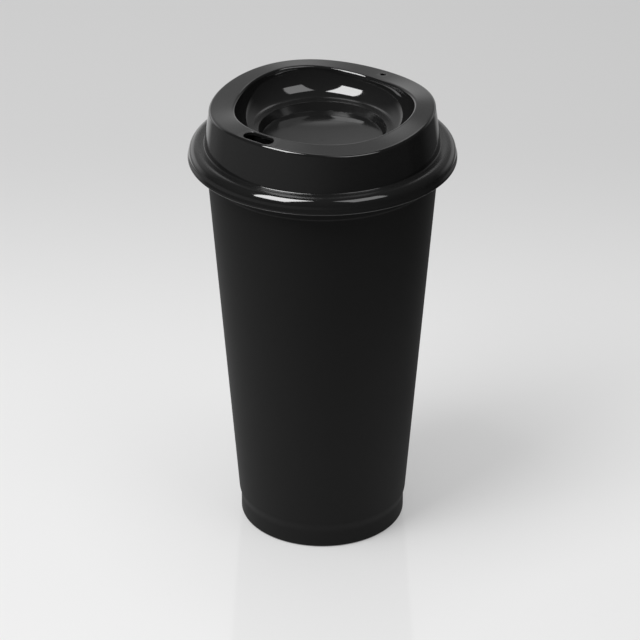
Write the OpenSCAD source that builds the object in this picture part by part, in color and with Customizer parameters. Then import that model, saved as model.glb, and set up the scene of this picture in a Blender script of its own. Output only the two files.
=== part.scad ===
// Reusable plastic cup with a push-fit sip lid.
// Origin at the centre of the foot, +Z up. The sip hole looks towards -Y.

/* [Cup] */
// Height of the cup, up to the flat top of its rim
cup_h = 152.8; // [120:0.1:190]
// Outer radius of the straight foot
foot_r = 31; // [27:0.1:35]
// Height of the straight foot
foot_h = 6.2; // [3:0.1:9]
// Height over which the shoulder swells from the foot to the body
shoulder_h = 4.8; // [2:0.1:10]
// Step out from the foot to the body above the shoulder
shoulder_step = 0.77; // [0.3:0.01:1.2]
// Outer radius of the body just under the collar
body_top_r = 41.9; // [38:0.1:46]
// Step out from the body to the collar
collar_step = 0.27; // [0.1:0.01:0.5]
// Distance from the collar's lower edge up to the top of the rim
collar_h = 9.5; // [6:0.1:15]
// Thickness of the cup's side wall
cup_wall = 1.3; // [1:0.1:2.2]
// Reach of the rim's lip beyond the collar
rim_w = 3.4; // [2.8:0.1:5]
// Height of the rim's turned-down lip
rim_h = 3; // [2.4:0.1:3.6]
// Rounding of the rim's outer and inner edges
rim_round = 0.8; // [0.3:0.1:1.1]
// Thickness of the cup's floor
base_t = 1.8; // [1.2:0.1:4]
// Depth of the hollow under the floor
base_hollow = 2.4; // [0.8:0.1:4]
// Width of the ring that the cup stands on
stand_w = 3.2; // [2.4:0.1:6]
// Rounding where the cup's floor meets its wall
base_round = 4; // [1:0.1:8]

/* [Lid] */
// Thickness of the lid
lid_wall = 1.3; // [0.9:0.1:1.6]
// Gap between the cup's lip and the lid's skirt
skirt_gap = 1.2; // [0.9:0.1:2]
// Drop of the skirt below the top of the cup's rim
skirt_drop = 4.3; // [3.8:0.1:6]
// Step out from the rounded bead to the skirt's lower band
skirt_flare = 0.5; // [0.2:0.05:0.8]
// Clearance between the skirt's catching ridge and the cup's lip
ridge_gap = 0.15; // [0.05:0.05:0.4]
// Width of the rounded bead, from its flat crest out to its side
bead_w = 3.4; // [2.4:0.1:3.8]
// Height of the rounded bead's curve
bead_h = 3.2; // [2:0.1:3.6]
// Clearance between the lid's plug and the cup's wall
plug_gap = 0.3; // [0.2:0.05:0.8]
// Depth of the plug inside the cup
plug_depth = 3.6; // [2:0.1:6]
// Set-out of the lid's wall at the flange, from the bore of the cup's mouth
wall_set = 1.1; // [0.6:0.1:1.3]
// Draw-in of the lid's wall, from the flange up to the ring
wall_draft = 1.9; // [0.5:0.1:3]
// Height of the ring's middle line above the cup's rim
ring_rise = 15.6; // [12:0.1:22]
// Swing of the wavy ring above and below its middle line
wave = 0.95; // [0:0.05:1.6]
// Number of waves round the ring
waves = 3; // [2:1:5]
// Fall of the ring's top from its inner to its outer edge
ring_fall = 0.4; // [0:0.05:1]
// Rounding of the ring's outer edge
ring_round = 1; // [0.5:0.1:1.2]
// Rounding of the ring's inner edge
lip_round = 1; // [0.6:0.1:1.8]

/* [Recess] */
// Width of the ring, from the lid's wall in to the recess's steepest place
ring_w = 8.7; // [8.3:0.1:10]
// Swing of the recess's wall, out at the ring's crests and in at its dips
recess_wave = 0.85; // [0:0.05:1]
// Width of the recess's curved wall, seen from above
bowl_w = 7.3; // [5:0.1:9]
// Width of the flat ledge between the curved wall and the well
ledge_w = 1.7; // [1.2:0.1:5]
// Depth of the ledge below the ring's middle line
ledge_depth = 9.1; // [7:0.1:10.5]
// Draw-in of the well's wall, from its mouth down to its floor
well_draft = 1.2; // [0.2:0.1:2]
// Depth of the well below the ledge, at its edge
well_depth = 3.2; // [1.6:0.1:4]
// Further dip of the well's floor, from its edge to its middle
floor_dish = 1.7; // [0:0.1:2]

/* [Holes] */
// Distance of the sip hole's middle in from the lid's wall
sip_in = 4; // [3.8:0.1:4.4]
// Length of the sip hole
sip_l = 12.3; // [8:0.1:16]
// Width of the sip hole
sip_w = 5; // [3.4:0.1:5.2]
// Distance of the vent hole in from the lid's wall
vent_in = 4.2; // [3:0.1:5]
// Diameter of the vent hole
vent_d = 2; // [1.2:0.1:3]

/* [Hidden] */
// Steps of the lid's surface round the axis
around = 72;
// Steps along small roundings and along the larger curves
bend = 3;
curve_steps = 8;
bead_steps = 6;
bowl_steps = 7;
floor_steps = 3;
// Steps round the cup and the holes
fine = 180;
// Turn of the recess's curve, from the flat ledge to its steepest place
bowl_turn = 76;
// Turn left out of the ring's inner rounding, where it meets the recess's wall
lip_turn = 20;
// Small roundings: on the cup's foot, at the flange, on the ledge's edge and in the well's corner
edge_round = 0.8;
flange_round = 1;
ledge_edge = 0.1;
well_corner = 0.2;
// Height of the skirt's lower band and of its rounded edge
band_h = 1.3;
band_edge = 0.5;
// Bevel on the skirt's lower edge
skirt_bevel = 0.3;
// Bevels inside the lid: in the channel's corner, beside the plug, on the plug's end and behind the wall
channel_bevel = 1.2;
seat_bevel = 0.6;
plug_bevel = 0.3;
wall_bevel = 0.4;
// Overrun of the cutters past the lid's surfaces
hole_slack = 1;

// Heights and radii of the cup
body_low_r = foot_r + shoulder_step;
body_slope = (body_top_r - body_low_r) / (cup_h - collar_h - foot_h - shoulder_h);
shoulder_top = foot_h + shoulder_h;
collar_z = cup_h - collar_h;
lip_z = cup_h - rim_h;
lip_roof = cup_h - cup_wall;
mouth_r = body_top_r + collar_step + body_slope * collar_h;
bore_r = mouth_r - cup_wall;
rim_r = mouth_r + rim_w;
inner_floor = base_hollow + base_t;

// Heights and radii of the lid, all counted from the cup's rim
crest_z = cup_h + lid_wall;
skirt_in = rim_r + skirt_gap;
skirt_out = skirt_in + lid_wall;
skirt_z = cup_h - skirt_drop;
bead_out = skirt_out - skirt_flare;
bead_z = crest_z - bead_h;
ridge_r = rim_r + ridge_gap;
ridge_low = skirt_z + ridge_gap + skirt_bevel;
ridge_top = lip_z - ridge_gap;
plug_out = bore_r - plug_gap;
plug_in = plug_out - lid_wall;
plug_z = cup_h - plug_depth;
ring_z = cup_h + ring_rise;
ledge_z = ring_z - ledge_depth;
well_z = ledge_z - well_depth;
wall_low_r = bore_r + wall_set;
wall_top_r = wall_low_r - wall_draft;
recess_r = wall_top_r - ring_w;
ledge_r = recess_r - bowl_w;
well_r = ledge_r - ledge_w;
well_floor_r = well_r - well_draft;
sip_r = wall_top_r - sip_in;
vent_r = wall_top_r - vent_in;
wall_slope = (wall_low_r - wall_top_r) / (ring_z - crest_z);
hole_top = ring_z + wave + hole_slack;
hole_low = ring_z - wave - 2 * lid_wall - hole_slack;

// Radius of the body's outside at a height above the shoulder
function body_r(z) = body_low_r + body_slope * (z - shoulder_top);
// Radius of the lid's wall on its outside at a height
function wall_r(z) = wall_low_r - wall_slope * (z - crest_z);
// Height of the well's dished floor at a share of its radius
function floor_z(t) = well_z - floor_dish * (1 - t * t);
// Points on an arc about a centre, from one angle to another
function arc(r, z, radius, from, to, steps) =
    [for (i = [0:steps]) let (a = from + (to - from) * i / steps) [r + radius * cos(a), z + radius * sin(a)]];
// Points of the soft step between the foot and the body
function shoulder(steps) =
    [for (i = [0:steps]) let (t = i / steps)
        [foot_r + shoulder_step * (1 - cos(180 * t)) / 2, foot_h + shoulder_h * t]];

// Cup: one moulded piece, foot, straight tapered body, collar and lip
module cup() {
    outside = concat(
        arc(foot_r - edge_round, edge_round, edge_round, -90, 0, bend),
        shoulder(curve_steps),
        [[body_r(collar_z), collar_z]],
        [[body_r(collar_z) + collar_step, collar_z + collar_step]],
        [[body_r(lip_roof) + collar_step, lip_roof]],
        [[rim_r - cup_wall, lip_roof]],
        [[rim_r - cup_wall, lip_z]],
        [[rim_r, lip_z]],
        arc(rim_r - rim_round, cup_h - rim_round, rim_round, 0, 90, bend)
    );
    inside = concat(
        arc(bore_r + rim_round, cup_h - rim_round, rim_round, 90, 180, bend),
        [[bore_r, lip_z - rim_h]],
        [[body_r(collar_z) - cup_wall, collar_z]],
        [[body_low_r - cup_wall, shoulder_top]],
        arc(foot_r - cup_wall - base_round, inner_floor + base_round, base_round, 0, -90, curve_steps),
        [[0, inner_floor]]
    );
    underside = concat(
        [[0, base_hollow]],
        arc(foot_r - stand_w - edge_round, base_hollow - edge_round, edge_round, 90, 0, bend),
        [[foot_r - stand_w, 0]]
    );
    color([0.05, 0.05, 0.05])
        rotate_extrude($fn = fine)
            polygon(concat(outside, inside, underside));
}

// Section of the lid at an angle from the sip hole, from the top of its middle to the underside of its middle
function lid_section(a) =
    let (
        top = ring_z + wave * cos(waves * a),
        outer_z = top - ring_fall / 2,
        inner_z = top + ring_fall / 2,
        reach = inner_z - lip_round - ledge_z,
        mouth = recess_r + recess_wave * cos(waves * a),
        lip = mouth + lip_round * cos(lip_turn)
    )
    concat(
        [for (i = [1:floor_steps - 1]) let (t = i / floor_steps)
            [well_floor_r * t, floor_z(t)]],
        arc(well_floor_r - well_corner, well_z + well_corner, well_corner, -80, -20, bend),
        arc(well_r + ledge_edge, ledge_z - ledge_edge, ledge_edge, 180, 90, bend),
        [for (i = [0:bowl_steps]) let (t = bowl_turn * i / bowl_steps)
            [ledge_r + (mouth - ledge_r) * sin(t) / sin(bowl_turn),
             ledge_z + reach * (1 - cos(t)) / (1 - cos(bowl_turn))]],
        arc(lip, inner_z - lip_round, lip_round, 180 - lip_turn, 90, bend),
        arc(wall_r(outer_z) - ring_round, outer_z - ring_round, ring_round, 86, 8, bend),
        [[wall_r(crest_z + flange_round), crest_z + flange_round]],
        arc(wall_r(crest_z) + flange_round, crest_z + flange_round, flange_round, 200, 270, bend),
        [for (i = [0:bead_steps]) let (t = 90 * i / bead_steps)
            [bead_out - bead_w + bead_w * sin(t), bead_z + bead_h * cos(t)]],
        [[skirt_out - skirt_flare / 4, skirt_z + band_h]],
        [[skirt_out, skirt_z + band_edge]],
        [[skirt_out - skirt_bevel, skirt_z]],
        [[skirt_in + skirt_bevel, skirt_z]],
        [[skirt_in - skirt_bevel, ridge_low]],
        [[ridge_r, (ridge_low + ridge_top) / 2]],
        [[skirt_in, ridge_top]],
        [[skirt_in, bead_z]],
        [[skirt_in - channel_bevel, cup_h]],
        [[plug_out + seat_bevel, cup_h]],
        [[plug_out, cup_h - seat_bevel]],
        [[plug_out - plug_bevel, plug_z]],
        [[plug_in, plug_z]],
        [[wall_r(crest_z) - lid_wall - wall_bevel, crest_z]],
        [[wall_r(outer_z) - lid_wall, outer_z - 2 * lid_wall]],
        [[wall_r(outer_z) - 2 * lid_wall, outer_z - lid_wall]],
        [[lip + lid_wall / 2, inner_z - lid_wall]],
        [for (i = [bowl_steps:-1:0]) let (t = bowl_turn * i / bowl_steps)
            [ledge_r + (mouth - ledge_r) * sin(t) / sin(bowl_turn) + lid_wall * sin(t),
             ledge_z + reach * (1 - cos(t)) / (1 - cos(bowl_turn)) - lid_wall * cos(t)]],
        [[well_r + lid_wall, ledge_z - lid_wall]],
        [[well_floor_r + lid_wall, well_z]],
        [for (i = [floor_steps:-1:1]) let (t = i / floor_steps)
            [well_floor_r * t, floor_z(t) - lid_wall]]
    );

// Surface carried round the axis through one section for each angle, closed at its two poles
module wavy_shell() {
    count = len(lid_section(0));
    rings = [for (k = [0:around - 1]) let (a = 360 * k / around, s = lid_section(a))
        for (p = s) [p[0] * sin(a), -p[0] * cos(a), p[1]]];
    top_pole = count * around;
    under_pole = top_pole + 1;
    points = concat(rings, [[0, 0, floor_z(0)], [0, 0, floor_z(0) - lid_wall]]);
    strips = [for (k = [0:around - 1], j = [0:count - 2])
        let (n = (k + 1) % around, a = k * count + j, b = n * count + j)
            each [[a, a + 1, b + 1], [a, b + 1, b]]];
    caps = [for (k = [0:around - 1]) let (n = (k + 1) % around)
        each [[top_pole, k * count, n * count],
              [under_pole, n * count + count - 1, k * count + count - 1]]];
    polyhedron(points = points, faces = concat(strips, caps));
}

// Straight slot with round ends, cut down through the ring
module sip_cut() {
    half = (sip_l - sip_w) / 2;
    translate([0, -sip_r, hole_low])
        linear_extrude(height = hole_top - hole_low) {
            for (side = [-1, 1])
                translate([side * half, 0])
                    circle(d = sip_w, $fn = fine);
            square([2 * half, sip_w], center = true);
        }
}

// Round vent hole through the ring, opposite the sip hole
module vent_cut() {
    translate([0, vent_r, hole_low])
        cylinder(d = vent_d, h = hole_top - hole_low, $fn = fine);
}

// Lid: one moulded piece, skirt, bead, wall, wavy ring and recess with its well
module lid() {
    color([0.02, 0.02, 0.02])
        difference() {
            wavy_shell();
            sip_cut();
            vent_cut();
        }
}

cup();
lid();
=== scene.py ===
import math
import bpy
import numpy as np
from mathutils import Matrix, Vector


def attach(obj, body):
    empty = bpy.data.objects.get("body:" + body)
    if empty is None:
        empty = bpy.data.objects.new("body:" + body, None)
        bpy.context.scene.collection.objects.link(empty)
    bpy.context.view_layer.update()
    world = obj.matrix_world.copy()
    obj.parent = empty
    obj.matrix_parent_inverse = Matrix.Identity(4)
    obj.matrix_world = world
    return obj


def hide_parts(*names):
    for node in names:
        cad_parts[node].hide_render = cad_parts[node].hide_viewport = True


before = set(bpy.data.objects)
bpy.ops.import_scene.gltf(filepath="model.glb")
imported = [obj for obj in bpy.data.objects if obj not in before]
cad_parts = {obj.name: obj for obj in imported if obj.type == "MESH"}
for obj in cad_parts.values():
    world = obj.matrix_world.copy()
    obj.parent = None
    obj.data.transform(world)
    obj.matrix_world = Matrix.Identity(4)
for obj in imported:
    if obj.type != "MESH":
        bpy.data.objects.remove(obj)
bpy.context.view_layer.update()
mm = 0.001

# The viewpoint of the photograph: a long lens that looks down on the cup, a little to the right of its sip hole.
view_turn = 37.5
view_down = 28.787
view_lens = 172.23
view_place = (-0.902, -1000, 629.918)

turn = Matrix.Rotation(math.radians(view_turn), 4, "Z")
camera = bpy.data.objects.new("camera", bpy.data.cameras.new("camera"))
camera.data.sensor_width = 36
camera.data.lens = view_lens
camera.data.clip_end = 50
camera.matrix_world = (
    turn
    @ Matrix.Translation([c * mm for c in view_place])
    @ Matrix.Rotation(math.radians(90 - view_down), 4, "X")
)
bpy.context.scene.collection.objects.link(camera)
bpy.context.scene.camera = camera

# Cup: one injection-moulded piece of black polypropylene with a fine matt texture from the mould. A straight foot, a
# soft shoulder, a tapered body, a collar under the rim and a turned-down lip that the lid's skirt goes over.
cup_h = 152.8
foot_r = 31.0
foot_h = 6.2
shoulder_h = 4.8
shoulder_step = 0.77
body_top_r = 41.9
collar_step = 0.27
collar_h = 9.5
cup_wall = 1.3
rim_w = 3.4
rim_h = 3.0
rim_round = 0.8
lip_bevel = 0.3
groove_round = 0.5
base_t = 1.8
base_hollow = 2.4
stand_w = 3.2
stand_round = 0.3
base_round = 4.0
edge_round = 0.8
pole_r = 0.8
row_gap = 0.1  # a straight's distance from the bend beside it
cup_columns = 288

body_low_r = foot_r + shoulder_step
body_slope = (body_top_r - body_low_r) / (cup_h - collar_h - foot_h - shoulder_h)
mouth_r = body_top_r + collar_step + body_slope * collar_h
bore_r = mouth_r - cup_wall
rim_r = mouth_r + rim_w


def arc(r, z, radius, start, end, steps):
    """Rows on a circle about (r, z): r + radius cos t and z + radius sin t, with t from start to end in degrees."""
    t = np.radians(np.linspace(start, end, steps + 1))[:, None]
    return np.stack(np.broadcast_arrays(r + radius * np.cos(t), z + radius * np.sin(t)), -1)


def line(r0, z0, r1, z1, steps):
    """Rows on a straight line from (r0, z0) to (r1, z1), crowded towards its two ends by half a cosine wave."""
    t = (0.5 - 0.5 * np.cos(np.linspace(0, math.pi, steps + 1)))[:, None]
    return np.stack(np.broadcast_arrays(r0 + (r1 - r0) * t, z0 + (z1 - z0) * t), -1)


def turned(rows, columns):
    """Carries a profile round the axis: a row's point (r, z) at the angle a goes to (r sin a, -r cos a, z)."""
    a = np.linspace(0, 2 * math.pi, columns, endpoint=False)
    r, z = np.broadcast_to(rows, (len(rows), columns, 2)).transpose(2, 0, 1)
    return np.stack([r * np.sin(a), -r * np.cos(a), z], -1)


def moulded(name, points, quads, fans, body, node):
    """A closed moulding from points in millimetres, four-sided faces and fans of triangles round the two poles."""
    mesh = bpy.data.meshes.new(name)
    mesh.from_pydata((points * mm).tolist(), [], quads.tolist() + fans.tolist())
    mesh.shade_smooth()
    piece = bpy.data.objects.new(name, mesh)
    bpy.context.scene.collection.objects.link(piece)
    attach(piece, body)
    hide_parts(node)
    return piece


def lattice(rows, columns):
    """Faces of a grid that closes on itself in its columns, each turned so that it looks out of the moulding."""
    i, j = np.meshgrid(np.arange(rows - 1), np.arange(columns), indexing="ij")
    n = (j + 1) % columns
    return np.stack([i * columns + j, (i + 1) * columns + j, (i + 1) * columns + n, i * columns + n], -1)


def fan(pole, ring):
    """Triangles from a pole to each step of a ring of points."""
    return np.stack([np.full(len(ring), pole), ring, np.roll(ring, -1)], -1)


def body_r(z):
    """Radius of the straight body at a height."""
    return body_low_r + body_slope * (z - foot_h - shoulder_h)


swell = np.linspace(0, 1, 13)[1:-1, None]
shoulder = np.stack(
    [foot_r + shoulder_step * (0.5 - 0.5 * np.cos(math.pi * swell)), foot_h + shoulder_h * swell], -1
)
collar_z = cup_h - collar_h
collar_r = body_r(collar_z)
lip_roof = cup_h - cup_wall
lip_low = cup_h - rim_h
cup_rows = np.concatenate([
    line(pole_r, base_hollow, foot_r - stand_w - edge_round, base_hollow, 6)[:-1],
    arc(foot_r - stand_w - edge_round, base_hollow - edge_round, edge_round, 90, 0, 6),
    arc(foot_r - stand_w + stand_round, stand_round, stand_round, 180, 270, 4),
    arc(foot_r - edge_round, edge_round, edge_round, -90, 0, 8),
    line(foot_r, edge_round + row_gap, foot_r, foot_h, 5),
    shoulder,
    line(body_low_r, foot_h + shoulder_h, collar_r, collar_z - row_gap / 2, 24),
    line(collar_r + 0.4 * row_gap, collar_z, collar_r + collar_step - row_gap / 2, collar_z + row_gap, 2),
    line(collar_r + collar_step, collar_z + 2 * row_gap, mouth_r, lip_roof - groove_round, 8),
    arc(mouth_r + groove_round, lip_roof - groove_round, groove_round, 180, 90, 4)[1:],
    line(mouth_r + groove_round + 2 * row_gap, lip_roof, rim_r - cup_wall - lip_bevel, lip_roof, 3),
    line(rim_r - cup_wall, lip_roof - lip_bevel, rim_r - cup_wall, lip_low + row_gap, 3),
    arc(rim_r - cup_wall / 2, lip_low + lip_bevel, cup_wall / 2, 200, 340, 6),
    line(rim_r, lip_low + lip_bevel + row_gap, rim_r, cup_h - rim_round - row_gap, 3),
    arc(rim_r - rim_round, cup_h - rim_round, rim_round, 0, 90, 6),
    arc(bore_r + rim_round, cup_h - rim_round, rim_round, 90, 180, 6),
    line(bore_r, cup_h - rim_round - 2 * row_gap, bore_r, cup_h - 2 * rim_h, 3),
    line(collar_r - cup_wall, collar_z, body_low_r - cup_wall, foot_h + shoulder_h, 20),
    arc(foot_r - cup_wall - base_round, base_hollow + base_t + base_round, base_round, 0, -90, 8),
    line(foot_r - cup_wall - base_round - 5 * row_gap, base_hollow + base_t, pole_r, base_hollow + base_t, 6),
])
points = turned(cup_rows, cup_columns).reshape(-1, 3)
poles = np.array([[0, 0, base_hollow], [0, 0, base_hollow + base_t]])
first = np.arange(cup_columns)
last = len(points) - cup_columns + first
cup = moulded(
    "cup_body",
    np.concatenate([points, poles]),
    lattice(len(cup_rows), cup_columns).reshape(-1, 4),
    np.concatenate([fan(len(points), first), fan(len(points) + 1, last[::-1])]),
    "cup",
    "cup",
)


class Value:
    """A socket of a material. Sums, differences and products of it add their Math nodes."""

    def __init__(self, tree, out):
        self.tree, self.out = tree, out

    def node(self, kind, settings=(), into=(), give=0):
        """A node of that type, with its settings made first and then its sockets' values or links."""
        made = self.tree.nodes.new(kind)
        for name, value in dict(settings).items():
            setattr(made, name, value)
        for name, value in dict(into).items():
            if isinstance(value, Value):
                self.tree.links.new(value.out, made.inputs[name])
            else:
                made.inputs[name].default_value = value
        return Value(self.tree, made.outputs[give])

    def maths(self, operation, *terms):
        return self.node("ShaderNodeMath", {"operation": operation}, dict(enumerate(terms)))

    def ramp(self, low, high, start, end):
        """A soft step from start at low to end at high."""
        ends = {"Value": self, "From Min": low, "From Max": high, "To Min": start, "To Max": end}
        return self.node("ShaderNodeMapRange", {"interpolation_type": "SMOOTHSTEP"}, ends, "Result")

    def along(self, way):
        """How far a place or a direction reaches along a way."""
        return self.node("ShaderNodeVectorMath", {"operation": "DOT_PRODUCT"}, {0: self, 1: way}, "Value")

    def grey(self):
        """The grey of that lightness."""
        return self.node("ShaderNodeCombineColor", (), {0: self, 1: self, 2: self}, "Color")

    def feeds(self, socket):
        self.tree.links.new(self.out, socket)

    def __add__(self, other):
        return self.maths("ADD", self, other)

    def __sub__(self, other):
        return self.maths("SUBTRACT", self, other)

    def __mul__(self, other):
        return self.maths("MULTIPLY", self, other)

    def __rsub__(self, other):
        return self.maths("SUBTRACT", other, self)

    __radd__ = __add__
    __rmul__ = __mul__


def begun(name):
    """A new material with its shader, and the object's own coordinates."""
    material = bpy.data.materials.new(name)
    material.use_nodes = True
    tree = material.node_tree
    place = Value(tree, tree.nodes.new("ShaderNodeTexCoord").outputs["Object"])
    return material, tree.nodes["Principled BSDF"], place


def grain(place, size):
    """Noise from 0 to 1 with grains of about that size in millimetres."""
    return place.node("ShaderNodeTexNoise", (), {"Vector": place, "Scale": 1 / (size * mm), "Detail": 3}, "Fac")


def plastic(name, shade, spread, rough, rough_spread, texture, depth, satin=0, cloud_size=22):
    """Moulded black plastic: soft clouds in colour and roughness, and the mould's fine texture as bump. Points of the
    piece whose attribute satin is above 0 are rougher by that share of the value satin."""
    material, shader, place = begun(name)
    cloud = grain(place, cloud_size)
    fine = grain(place, texture)
    tone = cloud.node(
        "ShaderNodeMix",
        {"data_type": "RGBA"},
        {0: cloud, 6: (shade - spread,) * 3 + (1,), 7: (shade + spread,) * 3 + (1,)},
        2,
    )
    tone.feeds(shader.inputs["Base Color"])
    duller = place.node("ShaderNodeAttribute", {"attribute_name": "satin"}, (), "Fac") * satin
    roughness = rough + duller + (cloud - 0.5) * rough_spread + (fine - 0.5) * rough_spread
    roughness.feeds(shader.inputs["Roughness"])
    bump = fine.node("ShaderNodeBump", (), {"Height": fine, "Strength": 1.0, "Distance": depth * mm})
    bump.feeds(shader.inputs["Normal"])
    return material, shader


cup_plastic, shader = plastic(
    "cup_plastic", shade=0.0075, spread=0.001, rough=0.6, rough_spread=0.05, texture=0.35, depth=0.006
)
shader.inputs["Specular IOR Level"].default_value = 0.2
cup.data.materials.append(cup_plastic)

# Lid: one thin injection-moulded piece of glossy black polypropylene, pushed on over the cup's lip. A rounded skirt, a
# drafted wall, a wavy ring with a sip slot and a vent, and a curved recess down to a flat ledge and a round well. The
# mould leaves the well, the ledge and the tops of the ring and the bead a little duller.
lid_wall = 1.3
skirt_gap = 1.2
skirt_drop = 4.3
skirt_flare = 0.5
skirt_round = 0.3
flare_h = 1.9
bead_w = 3.4
bead_h = 3.2
ridge_gap = 0.15
ridge_set = 0.1
ridge_half = 0.15
ridge_low = 0.45
plug_gap = 0.3
plug_depth = 3.6
plug_bevel = 0.3
seat_bevel = 0.6
groove_bevel = 1.2
wall_set = 1.1
wall_draft = 1.9
wall_foot = 0.65
wall_lean = 8
channel_round = 0.45
channel_lift = 0.25
channel_dip = 0.19
ring_rise = 15.6
wave = 0.95
waves = 3
ring_fall = 0.4
ring_flat = 5.4
ring_round = 1.0
lip_round = 1.0
lip_turn = 20
ring_w = 8.7
recess_wave = 0.85
bowl_w = 7.3
bowl_turn = 76
ledge_w = 1.7
ledge_depth = 9.1
ledge_edge = 0.04
well_draft = 1.2
well_depth = 3.2
well_corner = 0.05
floor_dish = 1.7
sip_l = 12.3
sip_w = 5.0
sip_in = 4.0
vent_d = 2.0
vent_in = 4.2
hole_round = 0.25
back_wall = 1.15
back_bevel = 0.4
ring_bevel = 0.25
side_gap = 0.06  # sideways distance of the well's wall and the ring's underside from their bends
bend_gap = 0.15  # the same distance along a wall
lid_columns = 324

crest_z = cup_h + lid_wall
skirt_in = rim_r + skirt_gap
skirt_out = skirt_in + lid_wall
skirt_z = cup_h - skirt_drop
bead_out = skirt_out - skirt_flare
bead_in = bead_out - bead_w
bead_z = crest_z - bead_h
ridge_r = rim_r + ridge_gap + ridge_set
ridge_z = (skirt_z + ridge_low + lip_low - ridge_gap) / 2
plug_out = bore_r - plug_gap
plug_in = plug_out - lid_wall
plug_z = cup_h - plug_depth
ring_z = cup_h + ring_rise
ledge_z = ring_z - ledge_depth
well_z = ledge_z - well_depth
wall_low_r = bore_r + wall_set
wall_top_r = wall_low_r - wall_draft
recess_r = wall_top_r - ring_w
ledge_r = recess_r - bowl_w
well_r = ledge_r - ledge_w
well_floor_r = well_r - well_draft
wall_slope = wall_draft / (ring_z - crest_z)

angle = np.linspace(0, 2 * math.pi, lid_columns, endpoint=False)


def ring_heights(a):
    """Heights of the ring's inner and outer edge, three waves round the ring."""
    inner = ring_z + wave * np.cos(waves * a) + ring_fall / 2
    return inner, inner - ring_fall


def recess_r_at(a):
    """Radius of the recess at its steepest place, wider under the waves' crests."""
    return recess_r + recess_wave * np.cos(waves * a)


def floor_z(r):
    """Height of the well's dished floor: it rises with the square of the radius."""
    return well_z - floor_dish * (1 - (r / well_floor_r) ** 2)


def wall_r(z):
    """Radius of the lid's wall at a height."""
    return wall_low_r - wall_slope * (z - crest_z)


def ring_edges(a):
    """Centre radius of the inner rounding and of the outer rounding."""
    inner_z, outer_z = ring_heights(a)
    return recess_r_at(a) + lip_round * math.cos(math.radians(lip_turn)), wall_r(outer_z) - ring_round


def ring_top(r, a):
    """Height of the ring's top at a radius: a straight fall between the two roundings, and circles over them."""
    inner_z, outer_z = ring_heights(a)
    lip, rim = ring_edges(a)
    share = np.clip((r - lip) / (rim - lip), 0, 1)
    flat = inner_z + (outer_z - inner_z) * share
    inner_drop = lip_round - np.sqrt(np.maximum(lip_round**2 - np.minimum(r - lip, 0) ** 2, 0.01))
    outer_drop = ring_round - np.sqrt(np.maximum(ring_round**2 - np.maximum(r - rim, 0) ** 2, 0.01))
    return flat - inner_drop - outer_drop


def ring_under(r, a):
    """Height of the ring's underside: one wall thickness under its top."""
    return ring_top(r, a) - lid_wall


inner_z, outer_z = ring_heights(angle)
recess = recess_r_at(angle)
lip, rim = ring_edges(angle)
reach = inner_z - lip_round - ledge_z
sweep = np.radians(np.linspace(0, bowl_turn, 31))[:, None]
bowl = np.stack(
    [
        ledge_r + (recess - ledge_r) * np.sin(sweep) / math.sin(math.radians(bowl_turn)),
        ledge_z + reach * (1 - np.cos(sweep)) / (1 - math.cos(math.radians(bowl_turn))),
    ],
    -1,
)
lip_arc = arc(lip, inner_z - lip_round, lip_round, 180 - lip_turn, 90, 12)
spread = np.linspace(0, 1, 19)[1:-1, None]
top_r = lip + (rim - lip) * spread
top = np.stack([top_r, ring_top(top_r, angle)], -1)
ring_lean = math.degrees(math.atan2(ring_fall, ring_flat))
rim_arc = arc(rim, outer_z - ring_round, ring_round, 90 - ring_lean, wall_lean, 12)
across = np.append(np.linspace(0.04, 0.99, 25), [0.997, 1])[:, None]
dish = np.stack([(well_floor_r - well_corner) * across, floor_z((well_floor_r - well_corner) * across)], -1)
quarter = np.linspace(0, math.pi / 2, 25)[:, None]
bead = np.stack([bead_in + bead_w * np.sin(quarter), bead_z + bead_h * np.cos(quarter)], -1)
down = np.linspace(0, 1, 13)[1:, None]
flare = np.stack([bead_out + skirt_flare * (0.5 - 0.5 * np.cos(math.pi * down)), bead_z - flare_h * down], -1)
wall_foot_z = crest_z + wall_foot
channel_r = wall_r(crest_z) + channel_round
bowl_back = bowl[::-1] + np.concatenate([back_wall * np.sin(sweep), -back_wall * np.cos(sweep)], -1)[::-1, None, :]
wall_back = wall_r(outer_z) - back_wall
under_span = recess + back_wall + side_gap - wall_back
under_r = wall_back - side_gap + under_span * np.linspace(0, 1, 27)[:, None]
under = np.stack([under_r, ring_under(under_r, angle)], -1)

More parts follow.
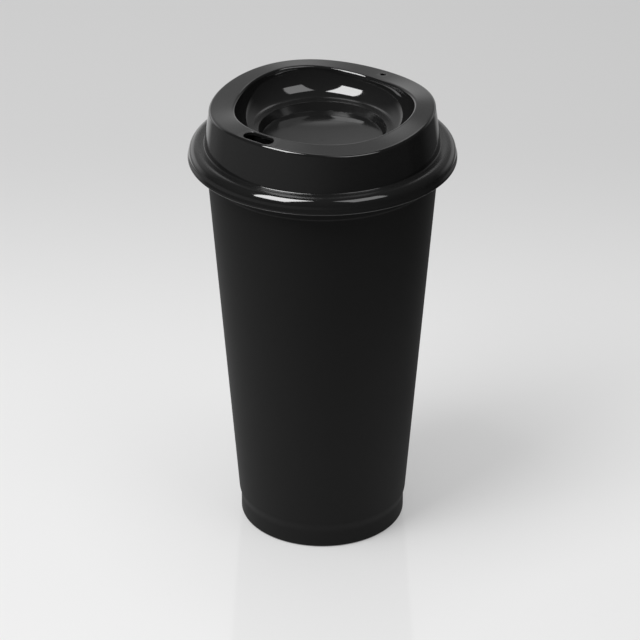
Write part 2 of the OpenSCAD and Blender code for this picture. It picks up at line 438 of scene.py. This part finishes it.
lid_parts = {
    "floor": dish,
    "floor_corner": arc(well_floor_r - well_corner, well_z + well_corner, well_corner, -78, -20, 5),
    "well_wall": line(well_floor_r + row_gap / 2, well_z + bend_gap, well_r - side_gap, ledge_z - bend_gap, 6),
    "ledge_edge": arc(well_r + ledge_edge, ledge_z - ledge_edge, ledge_edge, 160, 90, 5),
    "ledge": line(well_r + ledge_edge + row_gap / 2, ledge_z, ledge_r - row_gap, ledge_z, 5),
    "bowl": bowl,
    "lip": lip_arc[1:],
    "top": top,
    "rim": rim_arc,
    "wall": line(rim_arc[-1, :, 0], rim_arc[-1, :, 1] - bend_gap, wall_r(wall_foot_z), wall_foot_z, 10),
    "channel": arc(channel_r, crest_z + channel_lift, channel_round, 188, 258, 8),
    "flange": line(channel_r, crest_z - channel_dip, bead_in - row_gap, crest_z - row_gap / 10, 4),
    "bead": bead,
    "flare": flare,
    "skirt_edge": arc(skirt_out - skirt_round, skirt_z + skirt_round, skirt_round, 0, -90, 5),
    "skirt_inside": arc(skirt_in + skirt_round, skirt_z + skirt_round, skirt_round, -90, -170, 4),
    "ridge": line(ridge_r, ridge_z - ridge_half, ridge_r, ridge_z + ridge_half, 2),
    "bead_back": line(skirt_in, lip_low, skirt_in, bead_z, 3),
    "flange_back": line(skirt_in - groove_bevel, cup_h, plug_out + seat_bevel, cup_h, 3),
    "plug": line(plug_out, cup_h - seat_bevel, plug_out - plug_bevel, plug_z, 3),
    "plug_inside": line(plug_in, plug_z, plug_in, cup_h - back_bevel, 3),
    "wall_back": line(wall_r(crest_z) - lid_wall, crest_z, wall_back, outer_z - lid_wall - ring_bevel, 8),
    "under": under,
    "bowl_back": bowl_back,
    "well_back": line(well_r + lid_wall, ledge_z - lid_wall - back_bevel, well_floor_r + lid_wall, well_z, 4),
    "floor_back": dish[-2::-3] - np.array([0, lid_wall]),
}
lid_rows = np.concatenate([np.broadcast_to(part, (len(part), lid_columns, 2)) for part in lid_parts.values()])
start = dict(zip(lid_parts, np.cumsum([0] + [len(part) for part in lid_parts.values()])))


def slot_outline(towards, half, radius):
    """The point of a round-ended slot's edge that lies in the direction of each given point from its middle."""
    x, y = np.abs(towards.T)
    square = x * x + y * y
    to_end = (half * x + np.sqrt(np.maximum((half * x) ** 2 - square * (half**2 - radius**2), 0))) / square
    to_side = radius / np.maximum(y, 1e-9)
    return towards * np.where(x * radius > half * y, to_end, to_side)[:, None]


def block_edge(inner, outer, low, high):
    """Grid numbers round a block of faces: along its inner row, out, back along its outer row and in again."""
    step = 1 if outer > inner else -1
    rows = np.arange(inner, outer, step)
    columns = np.arange(low, high)
    return np.concatenate([
        inner * lid_columns + columns % lid_columns,
        rows * lid_columns + high % lid_columns,
        outer * lid_columns + (high - columns + low) % lid_columns,
        (rows[::-1] + step) * lid_columns + low % lid_columns,
    ])


def pierced(points, faces, top_rows, under_rows, columns, middle, half, radius):
    """A hole through the ring: rings of points lead from a block of the top down its rounded edge and straight wall
    to the same block of the underside. Each ring keeps the directions of the block's edge points from the middle."""
    over = block_edge(*top_rows, *columns)
    below = block_edge(*under_rows, *columns)
    towards = points[over, :2] - middle
    edge = middle + slot_outline(towards, half, radius)

    def on(height, plan, drop):
        """Points over a plan at a drop below the ring's top or underside."""
        r, a = np.hypot(*plan.T), np.arctan2(plan[:, 0], -plan[:, 1])
        return np.column_stack([plan, height(r, a) - drop])

    rings = []
    brink = middle + slot_outline(towards, half, radius + hole_round)
    for share in (0.25, 0.5, 0.75):
        rings.append(on(ring_top, points[over, :2] * (1 - share) + brink * share, 0))
    for turned_by in np.radians([0, 22.5, 45, 67.5, 90]):
        widened = middle + slot_outline(towards, half, radius + hole_round * (1 - math.sin(turned_by)))
        rings.append(on(ring_top, widened, hole_round * (1 - math.cos(turned_by))))
    for drop in (0.3, 0.7, lid_wall - 0.05, lid_wall):
        rings.append(on(ring_top, edge, drop))
    for share in (0.4, 0.8):
        rings.append(on(ring_under, edge * (1 - share) + points[below, :2] * share, 0))
    fresh = len(points)
    count = len(over)
    numbers = np.concatenate([[over], fresh + np.arange(len(rings) * count).reshape(len(rings), count), [below]])
    onward = np.roll(numbers, -1, 1)
    bands = np.stack([numbers[:-1], numbers[1:], onward[1:], onward[:-1]], -1).reshape(-1, 4)
    for first_row, last_row in (sorted(top_rows), sorted(under_rows)):
        faces[first_row:last_row, np.arange(*columns) % lid_columns] = -1
    return np.concatenate([points, *rings]), faces, bands


points = turned(lid_rows, lid_columns).reshape(-1, 3)
faces = lattice(len(lid_rows), lid_columns)
points, faces, sip_bands = pierced(
    points,
    faces,
    top_rows=(start["top"] - 5, start["rim"] + 2),
    under_rows=(start["under"] + 25, start["under"] + 1),
    columns=(-11, 11),
    middle=np.array([0, -(wall_top_r - sip_in)]),
    half=(sip_l - sip_w) / 2,
    radius=sip_w / 2,
)
points, faces, vent_bands = pierced(
    points,
    faces,
    top_rows=(start["top"] + 4, start["top"] + 14),
    under_rows=(start["under"] + 16, start["under"] + 6),
    columns=(lid_columns // 2 - 3, lid_columns // 2 + 3),
    middle=np.array([0, wall_top_r - vent_in]),
    half=0,
    radius=vent_d / 2,
)
quads = faces.reshape(-1, 4)
quads = np.concatenate([quads[quads[:, 0] >= 0], sip_bands, vent_bands])
poles = np.array([[0, 0, floor_z(0)], [0, 0, floor_z(0) - lid_wall]])
first = np.arange(lid_columns)
last = (len(lid_rows) - 1) * lid_columns + first
lid = moulded(
    "lid_shell",
    np.concatenate([points, poles]),
    quads,
    np.concatenate([fan(len(points), first), fan(len(points) + 1, last[::-1])]),
    "lid",
    "lid",
)
satin = np.zeros(len(lid.data.vertices))
satin[lid_rows[..., 0].size:] = 1
dull_rows = satin[:lid_rows[..., 0].size].reshape(-1, lid_columns)
dull_rows[start["well_wall"]:start["ledge_edge"]] = 0.6
dull_rows[start["ledge_edge"]:start["bowl"]] = 1
dull_rows[start["bowl"]:start["bowl"] + 10] = np.linspace(1, 0, 10)[:, None]
dull_rows[start["top"]:start["rim"]] = 0.4
dull_rows[start["flange"]:start["bead"] + 7] = 1
lid.data.attributes.new("satin", "FLOAT", "POINT").data.foreach_set("value", satin)
lid_plastic, shader = plastic(
    "lid_plastic", shade=0.011, spread=0.001, rough=0.06, rough_spread=0.02, texture=0.9, depth=0.0012, satin=0.2
)
shader.inputs["Specular IOR Level"].default_value = 0.9
lid.data.materials.append(lid_plastic)

# Studio: a pale, faintly glossy table, two large soft lamps high in front, the left one the brighter, a pale room for
# the camera, and a darker room with one pale strip that the black plastic mirrors. The table also glows, and its glow
# and colour hold painted light: they fall off away from the camera, carry painted contact shade round the cup's foot,
# and in reflections a painted lit patch round the cup and a painted shadow behind it to the right. None of it belongs
# to the object.
away = (-0.609, 0.793, 0)
to_right = (0.793, 0.609, 0)
table_half = 4
table_z = -0.0001
lamp_distance = 1.2
lamp_aim = 0.16

table = bpy.data.objects.new("table", bpy.data.meshes.new("table"))
table.data.from_pydata(
    [(table_half * x, table_half * y, table_z) for x, y in ((-1, -1), (1, -1), (1, 1), (-1, 1))], [], [(0, 1, 2, 3)]
)
bpy.context.scene.collection.objects.link(table)
table_top, shader, place = begun("table_top")
shader.inputs["Roughness"].default_value = 0.08
shader.inputs["Specular IOR Level"].default_value = 1.0
deep = place.along(away)
aside = place.along(to_right)
# Painted light in reflections: the table as the plastic mirrors it is bright in a patch round the cup and dim beyond,
# a little brighter to the left than to the right.
painted_lit_patch = (
    deep.ramp(-0.3, -0.1, 0, 1)
    * (aside + 0.1 * deep).ramp(-0.3, -0.17, 0, 1)
    * (aside - 0.12 * deep).ramp(0.13, 0.24, 1, 0)
)
painted_reflected_light = painted_lit_patch + (1 - painted_lit_patch) * aside.ramp(-0.7, 0.6, 0.21, 0.05)
camera_ray = place.node("ShaderNodeLightPath", (), (), "Is Camera Ray")
glossy_ray = place.node("ShaderNodeLightPath", (), (), "Is Glossy Ray")
# Painted falloff of light: the table's colour darkens away from the camera, and in reflections outside the painted lit
# patch.
albedo_with_painted_light = deep.ramp(0.06, 0.34, 0.44, 0.36) * (1 - glossy_ray * (1 - painted_reflected_light))
albedo_with_painted_light.grey().feeds(shader.inputs["Base Color"])
# Painted contact shade: ambient occlusion darkens the table's glow round the cup's foot.
painted_contact_shade = place.node("ShaderNodeAmbientOcclusion", {"samples": 8}, {"Distance": 0.07}, "AO")
# Painted shadow in reflections: the table's glow behind the cup and to its right is darker.
painted_reflected_shadow = 1 - deep.ramp(-0.05, 0.05, 0, 1) * aside.ramp(-0.06, 0.12, 0, 0.65)
# The table's glow is painted light: it fades away from the camera and takes the painted contact shade, and in
# reflections the painted lit patch and shadow.
pale = deep.ramp(0.06, 0.34, 0.455, 0.36) * (0.55 + 0.45 * painted_contact_shade) * (camera_ray + glossy_ray * painted_reflected_light * painted_reflected_shadow)
pale.grey().feeds(shader.inputs["Emission Color"])
shader.inputs["Emission Strength"].default_value = 1
table.data.materials.append(table_top)


def lamp(name, towards, along, length, width, glow):
    """A soft rectangular lamp that faces the lid, in the photograph's frame: its place, the way its long side runs,
    and its glow in watts per square metre and steradian."""
    out = Vector(towards).normalized()
    side = Vector(along)
    side = (side - side.dot(out) * out).normalized()
    light = bpy.data.lights.new(name, "AREA")
    light.shape, light.size, light.size_y = "RECTANGLE", length, width
    light.energy = glow * math.pi * length * width
    made = bpy.data.objects.new(name, light)
    facing = Matrix((side, out.cross(side), out)).transposed().to_4x4()
    made.matrix_world = turn @ Matrix.Translation(Vector((0, 0, lamp_aim)) + out * lamp_distance) @ facing
    bpy.context.scene.collection.objects.link(made)


lamp("left_lamp", (-0.445, -0.32, 0.836), (-0.382, -0.449, -0.386), length=0.9, width=0.55, glow=9.5)
lamp("right_lamp", (0.415, -0.35, 0.84), (0.3, -0.38, -0.33), length=0.66, width=0.55, glow=2.0)

world = bpy.data.worlds.new("room")
bpy.context.scene.world = world
world.use_nodes = True
sky = Value(world.node_tree, world.node_tree.nodes.new("ShaderNodeTexCoord").outputs["Generated"])
behind = sky.along(away)
height = sky.along((0, 0, 1))
aside = sky.along(to_right)
band = (
    height.ramp(0.55, 0.66, 0, 1)
    * height.ramp(0.7, 0.76, 1, 0)
    * aside.maths("ABSOLUTE", aside).ramp(0.2, 0.34, 1, 0)
    * behind.ramp(0, 0.3, 0, 1)
)
low = behind.ramp(0.3, 0.8, 0, 1) * height.ramp(0.2, 0.36, 0.65, 0.25) * height.ramp(0.5, 0.7, 1, 0.3)
camera_ray = sky.node("ShaderNodeLightPath", (), (), "Is Camera Ray")
dark = 0.04 + low * aside.ramp(-0.2, 0.3, 1.4, 0.8) + band * 1.2
glow = camera_ray * 0.6 + (1 - camera_ray) * dark
glow.feeds(world.node_tree.nodes["Background"].inputs["Color"])

bpy.context.scene.view_settings.view_transform = "Standard"
bpy.context.view_layer.update()
